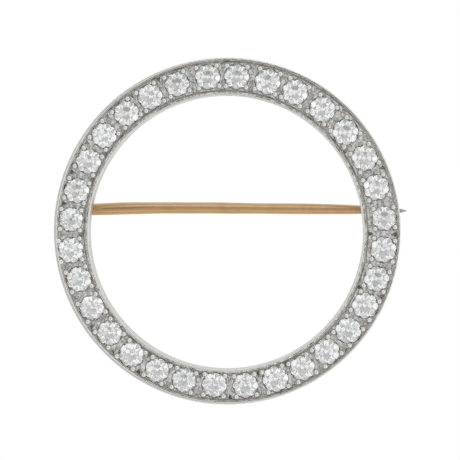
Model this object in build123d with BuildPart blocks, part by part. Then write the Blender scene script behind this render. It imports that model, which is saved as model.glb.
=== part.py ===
"""Circle pin brooch: an open platinum ring bead-set with round old-cut diamonds, and a gold pin behind it.

Millimetres. The brooch lies on its back: the ring's flat plane is parallel to XY and its stones face +Z.
The origin is on the ring's axis, at the height of the surface that the hinge and the catch touch.
+X points along the pin, from its hinge to its point, and +Y is the top of the brooch as it is worn.
"""
from build123d import *
import os
from math import cos, pi, radians, sin, tan

os.makedirs("parts", exist_ok=True)

# Stones: round old European cut
stone_diameter = 2.33
sieve_step = 0.07
stone_gap = 0.49
main_facets = 8
girdle_thickness = 0.05
table_share = 0.52
culet_share = 0.10
crown_corner_share = 0.98
pavilion_corner_share = 0.78
crown_angle = 35.0
pavilion_angle = 41.1
pavilion_angle_step = 0.3
stone_clearance = 0.02
first_stone_angle = 4.4

# Each stone leans a little its own way, and its facets are turned against its neighbours'
least_lean = 0.5
most_lean = 3.8
lean_step = 0.618
lean_turn = 222.5
facet_turn = 137.5

# Band of the ring
outer_rim_width = 0.21
inner_rim_width = 0.20
outer_groove_width = 0.26
inner_groove_width = 0.33
groove_depth = 0.09
rim_height = 0.25
rim_round = 0.08
ring_depth = 2.20
back_edge = 0.05
channel_shift = (0.07, 0.02)
opening_shift = (-0.12, -0.14)
girdle_below_floor = 0.02

# Wedges cut by the graver between the grains, from each groove towards the middle of a gap
graver_cut_length = 0.62
graver_cut_width = 0.50
graver_cut_depth = 0.20
graver_cut_run_in = 0.155
graver_headroom = 0.05

# Pierced seats and the grains over the stones' edges
seat_wall_rise = 0.13
seat_hole_diameter = 1.44
back_flare = 0.14
back_flare_depth = 0.35
grain_diameter = 0.54
grain_rise = 0.01
grain_root = 0.30
grain_overhang = 0.10
grain_direction = 45.0

# Hinge
lug_radius = 0.57
lug_thickness = 0.45
knuckle_drop = 0.68
knuckle_width = 1.04
knuckle_side_clearance = 0.06
rivet_diameter = 0.48
rivet_running_clearance = 0.04
rivet_seat_clearance = 0.005
rivet_head_diameter = 0.76
rivet_head_thickness = 0.13
solder_pad_depth = 0.45
solder_spread = 0.22

# Pin wire and its catch
wire_diameter = 1.055
wire_bow = 0.18
hinge_rise = 1.925
point_beyond_ring = 0.62
point_taper = 16.0
catch_length = 1.50
catch_wall = 0.28
catch_clearance = 0.06
catch_neck_width = 0.80

# One row a stone, clockwise from the top. along: how far on from its even place, as a share of the
# pitch. outward: how far out from mid-channel, as a share of its diameter. size: sieve steps up.
stone_rows = [
    # along, outward, size
    (-0.07, -0.01, 0),
    (-0.04, 0.00, 1),
    (-0.07, -0.01, 1),
    (-0.01, -0.02, 1),
    (0.06, -0.03, 1),
    (0.12, 0.02, 1),
    (0.15, 0.00, 1),
    (0.18, 0.09, -1),
    (0.21, 0.07, 1),
    (0.17, 0.05, 0),
    (0.12, 0.04, 1),
    (0.10, 0.03, 1),
    (0.08, 0.01, 1),
    (0.04, 0.01, 0),
    (0.00, -0.02, 1),
    (0.00, -0.03, 0),
    (0.03, -0.06, 0),
    (0.04, -0.04, -1),
    (-0.02, -0.01, -1),
    (-0.03, 0.01, 0),
    (-0.03, -0.01, 0),
    (-0.02, -0.01, 0),
    (0.01, 0.01, 0),
    (-0.01, 0.08, 1),
    (-0.02, 0.05, -1),
    (-0.05, 0.01, 0),
    (-0.02, -0.01, 0),
    (-0.02, 0.02, 0),
    (0.01, -0.01, 0),
    (-0.04, -0.02, 0),
    (-0.06, 0.01, -1),
    (-0.02, 0.01, 0),
]

# The wire from the hinge to its point, in two tapering stretches with a straight one between them.
# reach: share of the way. rise: share of the bow above the hinge. thickness: share of its diameter.
hinge_end_rows = [
    # reach, rise, thickness
    (0.012, 0.02, 1.04),
    (0.066, 0.22, 1.045),
    (0.141, 0.68, 1.08),
    (0.202, 0.87, 1.05),
    (0.260, 1.00, 1.00),
]
point_end_rows = [
    # reach, rise, thickness
    (0.441, 1.00, 1.00),
    (0.499, 0.82, 0.965),
    (0.621, 0.66, 0.945),
    (0.741, 0.48, 0.915),
    (0.800, 0.34, 0.86),
    (0.848, 0.20, 0.79),
    (0.928, -0.10, 0.55),
    (0.983, -0.42, 0.34),
]

# The ring's radii, worked out from the row of stones that it holds
stone_count = len(stone_rows)
channel_width = stone_diameter + stone_clearance
mid_radius = stone_count * (stone_diameter + stone_gap) / (2 * pi)
channel_outer_radius = mid_radius + channel_width / 2
channel_inner_radius = mid_radius - channel_width / 2
ring_radius = channel_outer_radius + outer_groove_width + outer_rim_width
opening_radius = channel_inner_radius - inner_groove_width - inner_rim_width

# Heights: the lowest metal of the hinge and the catch is at Z 0
knuckle_height = lug_radius
back_height = lug_radius + knuckle_drop
rim_top = back_height + ring_depth
channel_floor = rim_top - rim_height
girdle_top = channel_floor - girdle_below_floor

# The pin's line
hinge_x = -mid_radius
point_x = ring_radius + point_beyond_ring
wire_reach = point_x - hinge_x
catch_x = mid_radius


def wire_at(x):
    """The wire's height in Y and its radius at x, between the rows on either side."""
    share = (x - hinge_x) / wire_reach
    rows = hinge_end_rows + point_end_rows
    near, far = next(pair for pair in zip(rows, rows[1:]) if share <= pair[1][0])
    way = (share - near[0]) / (far[0] - near[0])
    rise = near[1] + way * (far[1] - near[1])
    thickness = near[2] + way * (far[2] - near[2])
    return hinge_rise + rise * wire_bow, thickness * wire_diameter / 2


def stone_size(size):
    """The diameter of a stone of this sieve size."""
    return stone_diameter + size * sieve_step


def stone_clock(index):
    """Where stone number index stands, in degrees clockwise from the top."""
    return first_stone_angle + (index + stone_rows[index][0]) * 360 / stone_count


def across_channel(clock):
    """The direction out from the ring's axis at this clock angle, and the channel's inner and outer edge."""
    direction = Vector(sin(radians(clock)), cos(radians(clock)))
    inner = channel_inner_radius + Vector(*opening_shift).dot(direction)
    outer = channel_outer_radius + Vector(*channel_shift).dot(direction)
    return direction, inner, outer


def stone_seat(index):
    """The frame of stone number index: its girdle's centre, its lean, and X pointing out from the ring."""
    along, outward, size = stone_rows[index]
    clock = stone_clock(index)
    direction, inner, outer = across_channel(clock)
    centre = direction * ((outer + inner) / 2 + outward * stone_size(size))
    lean_towards = index * lean_turn
    lean = least_lean + (most_lean - least_lean) * (index * lean_step % 1)
    lean_axis = Vector(cos(radians(lean_towards)), sin(radians(lean_towards)))
    place = Location((centre.X, centre.Y, girdle_top))
    return place * Location((0, 0, 0), lean_axis, lean) * Location((0, 0, 0), (0, 0, 1), 90 - clock)


def stone_place(index):
    """The seat's frame with the facets turned, so that no two neighbours face alike."""
    return stone_seat(index) * Location((0, 0, 0), (0, 0, 1), index * facet_turn)


def seats_of(size):
    """The frames of all stones of this sieve size."""
    return [stone_seat(index) for index, row in enumerate(stone_rows) if row[2] == size]


def stone_heights(size):
    """The radii and heights of the corners of a stone's facets, measured from the girdle's top edge.

    A main facet slopes from the girdle at its own angle, so a corner that is turned half a facet from
    its middle lies on it where its radius times the cosine of that turn does.
    """
    girdle = stone_size(size) / 2
    half_turn = cos(pi / main_facets)
    table = girdle * table_share
    crown = girdle * (1 + table_share) / 2 * crown_corner_share
    pavilion = girdle * pavilion_corner_share
    culet = girdle * culet_share
    crown_slope = tan(radians(crown_angle))
    pavilion_slope = tan(radians(pavilion_angle + size * pavilion_angle_step))
    return {
        "girdle": (girdle, 0),
        "table": (table, (girdle - table) * crown_slope),
        "crown": (crown, (girdle - crown * half_turn) * crown_slope),
        "pavilion": (pavilion, -girdle_thickness - (girdle - pavilion * half_turn) * pavilion_slope),
        "culet": (culet, -girdle_thickness - (girdle - culet * half_turn) * pavilion_slope),
    }


def corners(count, radius, height, start=0):
    """count points evenly round the Z axis, the first at start degrees."""
    turns = [radians(start + i * 360 / count) for i in range(count)]
    return [(radius * cos(a), radius * sin(a), height) for a in turns]


def solid_of(facets):
    """The solid that these flat facets close."""
    with BuildPart() as made:
        add(Solid(Shell([Face(Wire.make_polygon(points, close=True)) for points in facets])))
    return made.part


def cut_stone(size):
    """A round old European cut stone about the Z axis, with its girdle's top edge at Z 0."""
    heights = stone_heights(size)
    half_facet = 180 / main_facets
    table = corners(main_facets, *heights["table"])
    crown = corners(main_facets, *heights["crown"], start=half_facet)
    upper = corners(2 * main_facets, *heights["girdle"])
    lower = corners(2 * main_facets, heights["girdle"][0], -girdle_thickness)
    pavilion = corners(main_facets, *heights["pavilion"], start=half_facet)
    culet = corners(main_facets, *heights["culet"], start=half_facet)
    facets = [table, culet]
    for i in range(main_facets):
        after, before = (i + 1) % main_facets, i - 1
        main, half, end = 2 * i, 2 * i + 1, 2 * after
        facets += [
            [table[i], crown[i], table[after]],
            [table[i], crown[before], upper[main], crown[i]],
            [crown[i], upper[main], upper[half]],
            [crown[i], upper[half], upper[end]],
            [upper[main], lower[main], lower[half], upper[half]],
            [upper[half], lower[half], lower[end], upper[end]],
            [pavilion[i], lower[main], lower[half]],
            [pavilion[i], lower[half], lower[end]],
            [lower[main], pavilion[i], culet[i], culet[before], pavilion[before]],
        ]
    return solid_of(facets)


def seat_cutter(size):
    """What is cut for a stone: its outline with a clearance, and a hole out through the back."""
    heights = stone_heights(size)
    girdle = heights["girdle"][0] + stone_clearance
    hole = seat_hole_diameter / 2
    culet_radius, culet_height = heights["culet"]
    crown_radius, crown_height = heights["crown"]
    table_radius, table_height = heights["table"]
    seat_slope = (-girdle_thickness - culet_height) / (heights["girdle"][0] - culet_radius)
    seat_low = -girdle_thickness - stone_clearance - (girdle - hole) * seat_slope
    back = back_height - girdle_top
    with BuildPart() as cutter:
        with BuildSketch(Plane.XZ):
            with BuildLine():
                Polyline(
                    (0, back - back_flare_depth),
                    (hole + back_flare, back - back_flare_depth),
                    (hole, back + back_flare_depth),
                    (hole, seat_low),
                    (girdle, -girdle_thickness - stone_clearance),
                    (girdle, seat_wall_rise),
                    (crown_radius + stone_clearance, crown_height + 2 * stone_clearance),
                    (table_radius + stone_clearance, table_height + 2 * stone_clearance),
                    (table_radius + stone_clearance, table_height + grain_diameter),
                    (0, table_height + grain_diameter),
                    close=True,
                )
            make_face()
        revolve(axis=Axis.Z)
    return cutter.part


def grain():
    """One grain about the Z axis: a short peg of metal, burnished to a dome whose foot is at Z 0."""
    radius = grain_diameter / 2
    with BuildPart() as peg:
        with BuildSketch(Plane.XZ):
            with BuildLine():
                Polyline((0, radius), (0, -grain_root), (radius, -grain_root), (radius, 0))
                RadiusArc((radius, 0), (0, radius), -radius)
            make_face()
        revolve(axis=Axis.Z)
    return peg.part


def grain_places(size):
    """Where the four grains of each stone of this size stand, upright on the channel's floor."""
    distance = stone_size(size) / 2 + grain_diameter / 2 - grain_overhang
    across = distance * cos(radians(grain_direction))
    aside = distance * sin(radians(grain_direction))
    four = [Location((x, y, 0)) for x in (-across, across) for y in (-aside, aside)]
    centres = [(seat * corner).position for seat in seats_of(size) for corner in four]
    return [(centre.X, centre.Y, channel_floor + grain_rise) for centre in centres]


def graver_cut():
    """One cut, whose floor is at Z 0: wide and deep at the groove, it runs out to a point along +X.

    Its three sloping sides are carried on above the floor, as the graver enters from there.
    """
    outline = [(graver_cut_length, 0), (0, graver_cut_width / 2), (0, -graver_cut_width / 2)]
    deepest = (graver_cut_run_in, 0, -graver_cut_depth)
    spread = (graver_cut_depth + graver_headroom) / graver_cut_depth
    top = [(deepest[0] + (x - deepest[0]) * spread, y * spread, graver_headroom) for x, y in outline]
    return solid_of([top] + [[top[i - 1], top[i], deepest] for i in range(3)])


def graver_cut_places():
    """The frames of all cuts: two in each gap between stones, +X pointing from its groove into the gap."""
    clocks = [stone_clock(index) for index in range(stone_count)]
    places = []
    for before, after in zip(clocks, clocks[1:] + [clocks[0] + 360]):
        clock = (before + after) / 2
        direction, inner, outer = across_channel(clock)
        from_inside = direction * (inner - inner_groove_width / 3)
        from_outside = direction * (outer + outer_groove_width / 3)
        places.append(Location((from_inside.X, from_inside.Y, channel_floor), (0, 0, 1), 90 - clock))
        places.append(Location((from_outside.X, from_outside.Y, channel_floor), (0, 0, 1), 270 - clock))
    return places


def quarter_round(radius, side):
    """The arc that rounds a rim's front edge at this radius, the metal being outside (1) or inside (-1)."""
    middle = rim_round * (1 - cos(radians(45)))
    ThreePointArc(
        (radius, rim_top - rim_round),
        (radius + side * middle, rim_top - middle),
        (radius + side * rim_round, rim_top),
    )


# The stones, one cut for each sieve size and set round the channel
sieve_sizes = sorted({size for along, outward, size in stone_rows})
cuts = {size: cut_stone(size) for size in sieve_sizes}
for index, (along, outward, size) in enumerate(stone_rows):
    with BuildPart() as diamond:
        with Locations(stone_place(index)):
            add(cuts[size])
    diamond.part.label = f"diamond_{index + 1:02d}"
    export_step(diamond.part, f"parts/{diamond.part.label}.step")

# The ring: band, channel, rims, grains, seats, and what is soldered to its back
channel_axis = Axis((channel_shift[0], channel_shift[1], 0), (0, 0, 1))
opening_axis = Axis((opening_shift[0], opening_shift[1], 0), (0, 0, 1))
channel_plane = Plane(origin=(channel_shift[0], channel_shift[1], 0), x_dir=(1, 0, 0), z_dir=(0, -1, 0))
opening_plane = Plane(origin=(opening_shift[0], opening_shift[1], 0), x_dir=(1, 0, 0), z_dir=(0, -1, 0))
lug_offset = (knuckle_width + lug_thickness) / 2 + knuckle_side_clearance
hinge_width = 2 * lug_offset + lug_thickness
catch_y = wire_at(catch_x)[0]
catch_half_gap = wire_at(catch_x - catch_length / 2)[1] + catch_clearance
catch_half_width = catch_half_gap + catch_wall
pad_height = back_height + solder_pad_depth / 2

with BuildPart() as ring_frame:
    # A flat blank, eased at the back and rounded at the front
    with BuildSketch(Plane.XZ):
        with BuildLine():
            Polyline(
                (ring_radius - rim_round, rim_top),
                (0, rim_top),
                (0, back_height),
                (ring_radius - back_edge, back_height),
                (ring_radius, back_height + back_edge),
                (ring_radius, rim_top - rim_round),
            )
            quarter_round(ring_radius, -1)
        make_face()
    revolve(axis=Axis.Z)
    # The channel is sunk inside the outer rim, with its bright-cut groove
    with BuildSketch(channel_plane):
        with BuildLine():
            Polyline(
                (channel_outer_radius + outer_groove_width + rim_round, rim_top),
                (channel_outer_radius + outer_groove_width + rim_round, rim_top + rim_round),
                (0, rim_top + rim_round),
                (0, channel_floor),
                (channel_outer_radius, channel_floor),
                (channel_outer_radius + outer_groove_width / 3, channel_floor - groove_depth),
                (channel_outer_radius + outer_groove_width, rim_top - rim_round),
            )
            quarter_round(channel_outer_radius + outer_groove_width, 1)
        make_face()
    revolve(axis=channel_axis, mode=Mode.SUBTRACT)
    # The inner rim stands again round the opening, with a groove of its own
    with BuildSketch(opening_plane):
        with BuildLine():
            Polyline(
                (opening_radius - rim_round, back_height + back_edge),
                (opening_radius + inner_rim_width, back_height + back_edge),
                (opening_radius + inner_rim_width, rim_top),
                (opening_radius - rim_round, rim_top),
                close=True,
            )
        make_face()
    revolve(axis=opening_axis)
    with BuildSketch(opening_plane):
        with BuildLine():
            Polyline(
                (opening_radius + inner_rim_width, rim_top - rim_round),
                (channel_inner_radius - inner_groove_width / 3, channel_floor - groove_depth),
                (channel_inner_radius, channel_floor),
                (channel_inner_radius, rim_top + rim_round),
                (opening_radius + inner_rim_width - rim_round, rim_top + rim_round),
                (opening_radius + inner_rim_width - rim_round, rim_top),
            )
            quarter_round(opening_radius + inner_rim_width, -1)
        make_face()
    revolve(axis=opening_axis, mode=Mode.SUBTRACT)
    # The opening, eased at the back and rounded at the front
    with BuildSketch(opening_plane):
        with BuildLine():
            Polyline(
                (opening_radius + rim_round, rim_top),
                (opening_radius + rim_round, rim_top + rim_round),
                (0, rim_top + rim_round),
                (0, back_height - back_edge),
                (opening_radius + 2 * back_edge, back_height - back_edge),
                (opening_radius, back_height + back_edge),
                (opening_radius, rim_top - rim_round),
            )
            quarter_round(opening_radius, 1)
        make_face()
    revolve(axis=opening_axis, mode=Mode.SUBTRACT)
    # The graver's cuts between the stones
    with Locations(*graver_cut_places()):
        add(graver_cut(), mode=Mode.SUBTRACT)
    # Four grains raised round each stone, then its seat, which leaves them lapping over its edge
    for size in sieve_sizes:
        with Locations(*grain_places(size)):
            add(grain())
    for size in sieve_sizes:
        with Locations(*seats_of(size)):
            add(seat_cutter(size), mode=Mode.SUBTRACT)
    # Pads let into the back, where the hinge and the catch cross the pierced holes
    with Locations((hinge_x, hinge_rise, pad_height)):
        Box(2 * (lug_radius + solder_spread), hinge_width, solder_pad_depth)
    with Locations((catch_x, catch_y, pad_height)):
        Box(catch_length, 2 * catch_half_width, solder_pad_depth)
    # Two lugs, each with a spread foot of solder
    for side in (-1, 1):
        lug_middle = hinge_rise + side * lug_offset
        with BuildSketch(Plane.XZ.offset(-lug_middle)):
            with BuildLine():
                Polyline(
                    (hinge_x - lug_radius, knuckle_height),
                    (hinge_x + lug_radius, knuckle_height),
                    (hinge_x + lug_radius, back_height - solder_spread),
                    (hinge_x + lug_radius + solder_spread, back_height),
                    (hinge_x + lug_radius + solder_spread, pad_height),
                    (hinge_x - lug_radius - solder_spread, pad_height),
                    (hinge_x - lug_radius - solder_spread, back_height),
                    (hinge_x - lug_radius, back_height - solder_spread),
                    close=True,
                )
            make_face()
            with Locations((hinge_x, knuckle_height)):
                Circle(lug_radius)
                Circle(rivet_diameter / 2 + rivet_seat_clearance, mode=Mode.SUBTRACT)
        extrude(amount=lug_thickness / 2, both=True)
    # The catch: a strip bent over the pin, open towards the back
    with BuildSketch(Plane.YZ.offset(catch_x)):
        with Locations((catch_y, knuckle_height)):
            Circle(catch_half_width)
        with Locations((catch_y, knuckle_height / 2)):
            Rectangle(2 * catch_half_width, knuckle_height)
        with Locations((catch_y, (knuckle_height + pad_height) / 2)):
            Rectangle(catch_neck_width, pad_height - knuckle_height)
        with Locations((catch_y, knuckle_height)):
            Circle(catch_half_gap, mode=Mode.SUBTRACT)
        with Locations((catch_y, 0)):
            Rectangle(2 * catch_half_gap, 2 * knuckle_height, mode=Mode.SUBTRACT)
    extrude(amount=catch_length / 2, both=True)

ring_frame.part.label = "ring_frame"
export_step(ring_frame.part, "parts/ring_frame.step")

# The rivet, with a low domed head outside each lug
head_start = hinge_width / 2 + rivet_seat_clearance
with BuildPart() as hinge_rivet:
    with BuildSketch(Plane(origin=(hinge_x, hinge_rise, knuckle_height), x_dir=(1, 0, 0), z_dir=(0, 0, 1))):
        with BuildLine():
            Polyline(
                (0, -head_start - rivet_head_thickness),
                (rivet_head_diameter / 4, -head_start - rivet_head_thickness),
                (rivet_head_diameter / 2, -head_start - rivet_head_thickness / 3),
                (rivet_head_diameter / 2, -head_start),
                (rivet_diameter / 2, -head_start),
                (rivet_diameter / 2, head_start),
                (rivet_head_diameter / 2, head_start),
                (rivet_head_diameter / 2, head_start + rivet_head_thickness / 3),
                (rivet_head_diameter / 4, head_start + rivet_head_thickness),
                (0, head_start + rivet_head_thickness),
                close=True,
            )
        make_face()
    revolve(axis=Axis((hinge_x, hinge_rise, knuckle_height), (0, 1, 0)))

hinge_rivet.part.label = "hinge_rivet"
export_step(hinge_rivet.part, "parts/hinge_rivet.step")


def wire_section(row):
    """The plane across the wire at this row, at its centre."""
    reach, rise, thickness = row
    centre = (hinge_x + reach * wire_reach, hinge_rise + rise * wire_bow, knuckle_height)
    return Plane(origin=centre, x_dir=(0, 1, 0), z_dir=(1, 0, 0))


# The pin: a knuckle on the rivet, a bowed tapering wire with a straight middle stretch, and a point
with BuildPart() as pin_stem:
    for rows in (hinge_end_rows, point_end_rows):
        for row in rows:
            with BuildSketch(wire_section(row)):
                Circle(row[2] * wire_diameter / 2)
        loft()
    with BuildSketch(wire_section(hinge_end_rows[-1])):
        Circle(wire_diameter / 2)
    extrude(amount=(point_end_rows[0][0] - hinge_end_rows[-1][0]) * wire_reach)
    # The point is ground to a blunt tip
    last = point_end_rows[-1]
    with BuildSketch(wire_section(last)):
        Circle(last[2] * wire_diameter / 2)
    extrude(amount=(1 - last[0]) * wire_reach, taper=point_taper)
    with Locations(Location((hinge_x, hinge_rise, knuckle_height), (90, 0, 0))):
        Cylinder(hinge_end_rows[0][2] * wire_diameter / 2, knuckle_width)
        Cylinder(rivet_diameter / 2 + rivet_running_clearance, 2 * knuckle_width, mode=Mode.SUBTRACT)

pin_stem.part.label = "pin_stem"
export_step(pin_stem.part, "parts/pin_stem.step")
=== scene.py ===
"""Circle pin brooch: an open ring of old-cut diamonds bead-set in platinum, with a rose gold pin behind it.

Metres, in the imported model's frame: the brooch lies on its back, its stones face +Z, +X runs along the pin
from its hinge to its point, and +Y is the top of the brooch as it is worn.
"""

import bpy
import numpy as np
from mathutils import Matrix, Vector


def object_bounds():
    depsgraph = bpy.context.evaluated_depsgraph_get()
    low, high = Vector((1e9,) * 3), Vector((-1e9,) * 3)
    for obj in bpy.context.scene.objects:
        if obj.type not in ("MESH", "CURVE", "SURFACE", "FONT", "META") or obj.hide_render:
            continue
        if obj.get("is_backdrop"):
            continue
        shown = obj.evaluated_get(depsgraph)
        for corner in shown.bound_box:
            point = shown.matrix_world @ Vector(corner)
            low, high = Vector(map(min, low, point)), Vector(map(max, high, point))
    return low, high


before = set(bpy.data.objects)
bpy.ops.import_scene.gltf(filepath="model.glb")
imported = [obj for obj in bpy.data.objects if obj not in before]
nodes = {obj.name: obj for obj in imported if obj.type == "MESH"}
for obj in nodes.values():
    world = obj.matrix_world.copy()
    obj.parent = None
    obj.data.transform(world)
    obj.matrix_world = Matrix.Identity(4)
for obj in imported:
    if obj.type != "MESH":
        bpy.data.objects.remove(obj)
cad_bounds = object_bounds()


# The ring: cast and sawn platinum, turned true, with the channel and a bright-cut groove along each rim
# cut by graver. The rims are burnished, the channel between the stones stays greyer, the sides and the back
# are filed and rubbed down. Painted shade darkens the grooves in blots, some of the graver's cuts and the
# crevices, where it also stands for grime. The lugs and the catch behind it are gold, soldered on.

# Where the parts of the ring lie
back_face = 0.00125
channel_floor = 0.00320
rim_top = 0.00345
channel_centre = (0.00007, 0.00002)
opening_centre = (-0.00012, -0.00014)
outer_groove = (0.015537, 0.015797)
inner_groove = (0.012857, 0.013187)
burnished_rim = 0.00018

# Heights and distances over which one finish changes into the next
solder_line = (back_face - 0.00004, back_face - 0.00001)
front_line = (channel_floor - 0.00025, channel_floor - 0.00010)
cut_walls = (channel_floor - 0.00004, channel_floor - 0.00001)
grain_feet = (channel_floor + 0.00002, channel_floor + 0.00012)
rim_walls = (channel_floor + 0.00006, rim_top - 0.00006)
rim_edges = (rim_top - 0.00008, rim_top - 0.00003)
beyond_edge = 0.00003
inside_groove = 0.00005

# Grain sizes of the wear and of the blots of painted shade, and the values of its noise between which it
# shows
worn_size = 0.0004
worn_shows = (0.35, 0.75)
most_worn = 0.6
# Blots of painted shade along the grooves
groove_shade_size = 0.0006
groove_shade_shows = (0.35, 0.60)
faintest_groove_shade = 0.25
# Noise that picks the graver's cuts painted dark as shade
cut_shade_size = 0.0016
cut_shade_shows = (0.46, 0.58)
file_mark_size = 0.00012
file_mark_stretch = (0.10, 1, 0.4)
file_mark_shows = (0.35, 0.65)
scratch_size = 0.00006
scratch_stretch = (1, 0.3, 1)
scratch_shows = (0.35, 0.75)
crevice_reach = 0.00030
crevice_shows = (0.05, 0.55)

# Relief and polish, and the colours of each finish and of the painted shade
edge_round = 0.00003
graver_mark_size = 0.00050
graver_mark_smoothness = 0.25
graver_mark_depth = 0.00020
scratch_depth = 0.00001
scratch_strength = 0.12
filed_roughness = (0.40, 0.58)
burnishing = 0.24
platinum_colour = (0.76, 0.76, 0.74, 1)
side_colour = (0.64, 0.64, 0.62, 1)
filed_colour = (0.52, 0.515, 0.49, 1)
channel_colour = (0.38, 0.375, 0.355, 1)
grain_colour = (0.68, 0.675, 0.65, 1)
# Painted shade in the grooves
groove_shade_colour = (0.62, 0.605, 0.57, 1)
cut_colour = (0.72, 0.70, 0.66, 1)
# Painted shade in some of the graver's cuts
cut_shade_colour = (0.30, 0.275, 0.23, 1)
# Painted shade in the crevices, from ambient occlusion, which also stands for grime
shade_and_grime_colour = (0.36, 0.34, 0.295, 1)
gold_colour = (0.66, 0.43, 0.245, 1)


def new_material(name):
    """An empty node material with its Principled shader; returns the material, its tree and the shader."""
    material = bpy.data.materials.new(name)
    material.use_nodes = True
    tree = material.node_tree
    return material, tree, tree.nodes["Principled BSDF"]


def node(tree, kind, inputs=(), **settings):
    """A new node with these settings; inputs maps a socket's name or number to a value or another socket."""
    made = tree.nodes.new("ShaderNode" + kind)
    for name, value in settings.items():
        setattr(made, name, value)
    for key, value in dict(inputs).items():
        if isinstance(value, bpy.types.NodeSocket):
            tree.links.new(value, made.inputs[key])
        else:
            made.inputs[key].default_value = value
    return made


def combined(tree, operation, *values, **settings):
    """What this operation makes of the values, each of them a number or a socket."""
    return node(tree, "Math", enumerate(values), operation=operation, **settings).outputs["Value"]


def mix_colour(tree, share, below, above):
    """The colour between two others: below where share is 0, above where it is 1."""
    mixer = node(tree, "Mix", data_type="RGBA")
    for slot, value in (("Factor_Float", share), ("A_Color", below), ("B_Color", above)):
        socket = next(s for s in mixer.inputs if s.identifier == slot)
        if isinstance(value, bpy.types.NodeSocket):
            tree.links.new(value, socket)
        else:
            socket.default_value = value
    return next(s for s in mixer.outputs if s.identifier == "Result_Color")


def between(tree, value, low, high, to_low=0.0, to_high=1.0):
    """value's way from low to high, smoothly eased, carried over to the range to_low to to_high."""
    inputs = {"Value": value, "From Min": low, "From Max": high, "To Min": to_low, "To Max": to_high}
    return node(tree, "MapRange", inputs, interpolation_type="SMOOTHSTEP").outputs["Result"]


def place(tree):
    """Where a point of the piece lies."""
    return node(tree, "TexCoord").outputs["Object"]


def coordinates(tree):
    """The X, Y and Z of a point of the piece."""
    return node(tree, "SeparateXYZ", {"Vector": place(tree)}).outputs


def wear(tree, size, detail=4.0, stretch=(1, 1, 1)):
    """Noise of this grain size in metres, from 0 to 1, drawn out by stretch along each axis."""
    drawn_out = node(tree, "Mapping", {"Vector": place(tree), "Scale": stretch}).outputs["Vector"]
    return node(tree, "TexNoise", {"Vector": drawn_out, "Scale": 1 / size, "Detail": detail}).outputs["Fac"]


def ring_distance(tree, centre):
    """The distance from the upright axis through this centre."""
    flat = node(tree, "VectorMath", {0: place(tree), 1: (1, 1, 0)}, operation="MULTIPLY").outputs["Vector"]
    return node(tree, "VectorMath", {0: flat, 1: (*centre, 0)}, operation="DISTANCE").outputs["Value"]


def groove(tree, centre, inner, outer):
    """1 in the groove between these two radii about centre, 0 beyond its edges."""
    distance = ring_distance(tree, centre)
    past_inner = between(tree, distance, inner - beyond_edge, inner + inside_groove)
    short_of_outer = between(tree, distance, outer - inside_groove, outer + beyond_edge, 1.0, 0.0)
    return combined(tree, "MULTIPLY", past_inner, short_of_outer)


def within(tree, inner, outer):
    """1 on the band between the inner radius about the opening and the outer one about the channel."""
    past_inner = between(tree, ring_distance(tree, opening_centre), inner - beyond_edge, inner)
    short_of_outer = between(tree, ring_distance(tree, channel_centre), outer, outer + beyond_edge, 1.0, 0.0)
    return combined(tree, "MULTIPLY", past_inner, short_of_outer)


platinum, tree, shader = new_material("worn platinum")

# Where each finish lies
height = coordinates(tree)["Z"]
above_back = between(tree, height, *solder_line)
worked_band = within(tree, inner_groove[0] - burnished_rim, outer_groove[1] + burnished_rim)
above_front = combined(tree, "MULTIPLY", worked_band, between(tree, height, *front_line))
in_row = within(tree, inner_groove[1], outer_groove[0])
on_rims = between(tree, height, *rim_walls)
below_rims = between(tree, height, *rim_edges, 1.0, 0.0)
below_grains = between(tree, height, *grain_feet, 1.0, 0.0)
cut_deep = between(tree, height, *cut_walls, 1.0, 0.0)
grooves = combined(tree, "MAXIMUM", groove(tree, channel_centre, *outer_groove),
                   groove(tree, opening_centre, *inner_groove))

# Painted shade: the grooves are darkened in blots, some of the graver's cuts are coloured dark, and the
# other crevices are darkened by ambient occlusion, which also stands for grime there
shade_blots = between(tree, wear(tree, groove_shade_size, detail=3.0), *groove_shade_shows, faintest_groove_shade, 1.0)
blotted_grooves = combined(tree, "MULTIPLY", shade_blots, grooves)
groove_shade = combined(tree, "MULTIPLY", blotted_grooves, below_rims)
shaded_cuts = between(tree, wear(tree, cut_shade_size, detail=2.0), *cut_shade_shows)
# Ambient occlusion finds the crevices that get painted shade
occlusion_amount = node(tree, "AmbientOcclusion", {"Distance": crevice_reach}, samples=8).outputs["AO"]
unoccluded = between(tree, occlusion_amount, *crevice_shows)
cut_at_front = combined(tree, "MULTIPLY", cut_deep, above_front)
free_of_crevice_shade = combined(tree, "MAXIMUM", unoccluded, cut_at_front)

# The colours, each over the one before
# Painted shade: some of the graver's cuts coloured dark
cut = mix_colour(tree, shaded_cuts, cut_colour, cut_shade_colour)
floor = mix_colour(tree, cut_deep, channel_colour, cut)
raised = mix_colour(tree, in_row, platinum_colour, grain_colour)
front = mix_colour(tree, on_rims, floor, raised)
patches = between(tree, wear(tree, worn_size), *worn_shows, 0.0, most_worn)
worn = mix_colour(tree, patches, front, platinum_colour)
# Painted shade: the grooves darkened in blots
groove_shaded = mix_colour(tree, groove_shade, worn, groove_shade_colour)
file_marks = wear(tree, file_mark_size, stretch=file_mark_stretch)
rubbed = mix_colour(tree, between(tree, file_marks, *file_mark_shows), filed_colour, side_colour)
metal = mix_colour(tree, above_front, rubbed, groove_shaded)
soldered = mix_colour(tree, above_back, gold_colour, metal)
# Painted shade: the crevices darkened by ambient occlusion, also standing for grime, over everything else
tree.links.new(mix_colour(tree, free_of_crevice_shade, shade_and_grime_colour, soldered), shader.inputs["Base Color"])
shader.inputs["Metallic"].default_value = 1.0

# The front is burnished smoother than the filed sides and back
scratches = wear(tree, scratch_size, detail=6.0, stretch=scratch_stretch)
filed = between(tree, scratches, *scratch_shows, *filed_roughness)
tree.links.new(combined(tree, "MULTIPLY_ADD", above_front, -burnishing, filed), shader.inputs["Roughness"])

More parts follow.
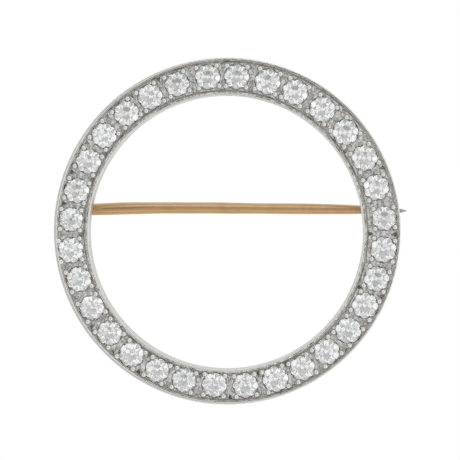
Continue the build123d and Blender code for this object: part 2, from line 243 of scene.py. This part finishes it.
# Rounded edges, graver marks on the channel's floor between the cuts, and fine scratches everywhere
rounded = node(tree, "Bevel", {"Radius": edge_round}, samples=6).outputs["Normal"]
graver_marks = node(tree, "TexVoronoi", {"Vector": place(tree), "Scale": 1 / graver_mark_size,
                                         "Smoothness": graver_mark_smoothness},
                    feature="SMOOTH_F1").outputs["Distance"]
uncut = combined(tree, "SUBTRACT", above_front, cut_deep, use_clamp=True)
in_channel = combined(tree, "MULTIPLY", below_grains, uncut)
marked_height = combined(tree, "MULTIPLY", graver_marks, in_channel)
graved = node(tree, "Bump", {"Height": marked_height, "Strength": 1.0, "Distance": graver_mark_depth,
                             "Normal": rounded}).outputs["Normal"]
scratched = node(tree, "Bump", {"Height": scratches, "Strength": scratch_strength,
                                "Distance": scratch_depth, "Normal": graved}).outputs["Normal"]
tree.links.new(scratched, shader.inputs["Normal"])
nodes["ring_frame"].material_slots[0].material = platinum


# The stones: thirty-two old European cut diamonds, cut and polished by hand, of good white colour. Faint
# tints differ from place to place in the row, and old facets carry a little polish drag.

diamond_index = 2.417
diamond_colour = (0.985, 0.99, 0.985, 1)
diamond_tint = (0.86, 0.89, 0.88, 1)
tint_size = 0.0008
tint_shows = (0.4, 0.7)
drag_size = 0.0004
drag_shows = (0.35, 0.65)
facet_roughness = (0.04, 0.09)

diamond, tree, shader = new_material("old-cut diamond")
shader.inputs["Transmission Weight"].default_value = 1.0
shader.inputs["IOR"].default_value = diamond_index
tints = between(tree, wear(tree, tint_size, detail=1.0), *tint_shows)
tree.links.new(mix_colour(tree, tints, diamond_colour, diamond_tint), shader.inputs["Base Color"])
drag = wear(tree, drag_size, detail=1.0)
tree.links.new(between(tree, drag, *drag_shows, *facet_roughness), shader.inputs["Roughness"])
for name, piece in nodes.items():
    if name.startswith("diamond_"):
        piece.material_slots[0].material = diamond


# The rivet and the pin: drawn rose gold, filed to a taper and burnished, with fine marks along the wire. Its
# upper side is painted paler as painted light, it is greyer at the worn point, and a thin brown line of
# painted reflection runs along its top beside the ring.

# Where the wire's finish and its painted light change
wire_middle = 0.0021
lit_side_edge = (wire_middle - 0.0003, wire_middle + 0.0004)
point_starts = 0.0152
point_change = (point_starts, point_starts + 0.0006)

# The painted reflection is a thin dark line on the wire's upper half, a little aslant, from the ring to
# short of the middle
reflection_starts = (-0.0118, -0.0114)
reflection_ends = (-0.0100, -0.0050)
reflection_rise = 0.00245
reflection_slope = 0.035
reflection_half_width = (0.00003, 0.00014)
wire_height = 0.00057

# Fine marks along the wire, duller places, and the colours
mark_size = 0.00010
mark_stretch = (0.06, 1, 1)
mark_shows = (0.35, 0.7)
mark_depth = 0.00001
mark_strength = 0.02
wire_roughness = (0.29, 0.37)
tarnish_size = 0.0012
tarnish_shows = (0.45, 0.85)
most_tarnished = 0.5
wire_colour = (0.57, 0.355, 0.178, 1)
# Painted light on the wire's upper side
lit_side_colour = (0.56, 0.40, 0.242, 1)
tarnish_colour = (0.44, 0.27, 0.14, 1)
# Painted reflection along the wire's top
reflection_colour = (0.40, 0.255, 0.135, 1)
point_colour = (0.36, 0.34, 0.28, 1)

rose_gold, tree, shader = new_material("drawn rose gold")
spot = coordinates(tree)

# The painted reflection: a dark line along the top of the wire
past_hinge = between(tree, spot["X"], *reflection_starts)
short_of_middle = between(tree, spot["X"], *reflection_ends, 1.0, 0.0)
along = combined(tree, "MULTIPLY", past_hinge, short_of_middle)
levelled = combined(tree, "MULTIPLY_ADD", spot["X"], -reflection_slope, spot["Y"])
off_line = combined(tree, "ABSOLUTE", combined(tree, "SUBTRACT", levelled, reflection_rise))
on_line = between(tree, off_line, *reflection_half_width, 1.0, 0.0)
on_top = combined(tree, "GREATER_THAN", spot["Z"], wire_height)
line = combined(tree, "MULTIPLY", on_line, on_top)
reflected_line = combined(tree, "MULTIPLY", along, line)

# The colours, each over the one before
# Painted light: the upper side of the wire is paler
gold = mix_colour(tree, between(tree, spot["Y"], *lit_side_edge), wire_colour, lit_side_colour)
tarnish = between(tree, wear(tree, tarnish_size, detail=3.0), *tarnish_shows, 0.0, most_tarnished)
dulled = mix_colour(tree, tarnish, gold, tarnish_colour)
pointed = mix_colour(tree, between(tree, spot["X"], *point_change), dulled, point_colour)
# Painted reflection laid over the rest of the wire's colour
tree.links.new(mix_colour(tree, reflected_line, pointed, reflection_colour), shader.inputs["Base Color"])
shader.inputs["Metallic"].default_value = 1.0
marks = wear(tree, mark_size, detail=5.0, stretch=mark_stretch)
tree.links.new(between(tree, marks, *mark_shows, *wire_roughness), shader.inputs["Roughness"])
drawn = node(tree, "Bump", {"Height": marks, "Strength": mark_strength, "Distance": mark_depth})
tree.links.new(drawn.outputs["Normal"], shader.inputs["Normal"])
for name in ("hinge_rivet", "pin_stem"):
    nodes[name].material_slots[0].material = rose_gold


# The table: a sheet lit from below, evenly white, that the brooch lies on. From underneath it is clear, so
# the back can be looked at.

table_half = 0.6
table_glow = 1.0

sheet = bpy.data.meshes.new("light_table")
corner_x, corner_y = np.array([-1, 1, 1, -1]) * table_half, np.array([-1, -1, 1, 1]) * table_half
sheet.from_pydata(np.stack([corner_x, corner_y, np.zeros(4)], 1).tolist(), [], [(0, 1, 2, 3)])
table = bpy.data.objects.new("light_table", sheet)
bpy.context.scene.collection.objects.link(table)
lit, tree, shader = new_material("lit sheet")
glow = node(tree, "Emission", {"Color": (1, 1, 1, 1), "Strength": table_glow}).outputs["Emission"]
clear = node(tree, "BsdfTransparent").outputs["BSDF"]
side = node(tree, "NewGeometry").outputs["Backfacing"]
sheet_shader = node(tree, "MixShader", {0: side, 1: glow, 2: clear}).outputs["Shader"]
tree.links.new(sheet_shader, tree.nodes["Material Output"].inputs["Surface"])
sheet.materials.append(lit)
table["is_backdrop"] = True


# The camera: high over the ring's front, a little to its right and towards its top, aimed at its middle.
# The lens is worked out from the width that the picture takes in at the height of the rims.

camera_height = 0.250
camera_foot = (0.0109, 0.0063)
aim = Vector((0.00029, 0.00012, rim_top))
seen_width = 0.0424
sensor_width = 36.0
nearest_seen, farthest_seen = 0.005, 10.0

camera_data = bpy.data.cameras.new("camera")
camera = bpy.data.objects.new("camera", camera_data)
bpy.context.scene.collection.objects.link(camera)
camera.location = (*camera_foot, rim_top + camera_height)
gaze = aim - camera.location
backwards = -gaze.normalized()
rightwards = Vector((0, 1, 0)).cross(backwards).normalized()
upwards = backwards.cross(rightwards)
camera.rotation_euler = Matrix((rightwards, upwards, backwards)).transposed().to_euler()
camera_data.sensor_width = sensor_width
camera_data.lens = sensor_width * gaze.length / seen_width
camera_data.clip_start = nearest_seen
camera_data.clip_end = farthest_seen
bpy.context.scene.camera = camera


# The tent: soft white cloth all round, brightest overhead, with a few broad shaded folds. The camera looks
# in through its opening, which reaches further up than down and shows dark in the polished metal.

opening_raised = Vector((0, 0.22, 0))
opening_edge = (0.960, 0.976)
overhead_from, overhead_to = 0.0, 0.9
fold_scale = 1.3
fold_shows = (0.34, 0.42)
opening_grey = (0.40, 0.40, 0.40, 1)
shaded_upright, bright_upright = (0.54, 0.54, 0.54, 1), (1.03, 1.03, 1.03, 1)
shaded_overhead, bright_overhead = (0.62, 0.62, 0.62, 1), (1.18, 1.18, 1.18, 1)

world = bpy.data.worlds.new("white tent")
world.use_nodes = True
bpy.context.scene.world = world
tree = world.node_tree
direction = node(tree, "TexCoord").outputs["Generated"]
towards_opening = (backwards + opening_raised).normalized()
nearness = node(tree, "VectorMath", {0: direction, 1: tuple(towards_opening)},
                operation="DOT_PRODUCT").outputs["Value"]
hole = between(tree, nearness, *opening_edge)
rise = node(tree, "SeparateXYZ", {"Vector": direction}).outputs["Z"]
folds = node(tree, "TexNoise", {"Vector": direction, "Scale": fold_scale, "Detail": 0.0}).outputs["Fac"]
unshaded = between(tree, folds, *fold_shows)
upright = mix_colour(tree, unshaded, shaded_upright, bright_upright)
overhead = mix_colour(tree, unshaded, shaded_overhead, bright_overhead)
cloth = mix_colour(tree, between(tree, rise, overhead_from, overhead_to), upright, overhead)
tent = mix_colour(tree, hole, cloth, opening_grey)
tree.links.new(tent, tree.nodes["Background"].inputs["Color"])
bpy.context.scene.view_settings.view_transform = "Standard"

as_lists = lambda box: [[round(float(v), 6) for v in corner] for corner in box]
{"cad": as_lists(cad_bounds), "visual": as_lists(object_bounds())}
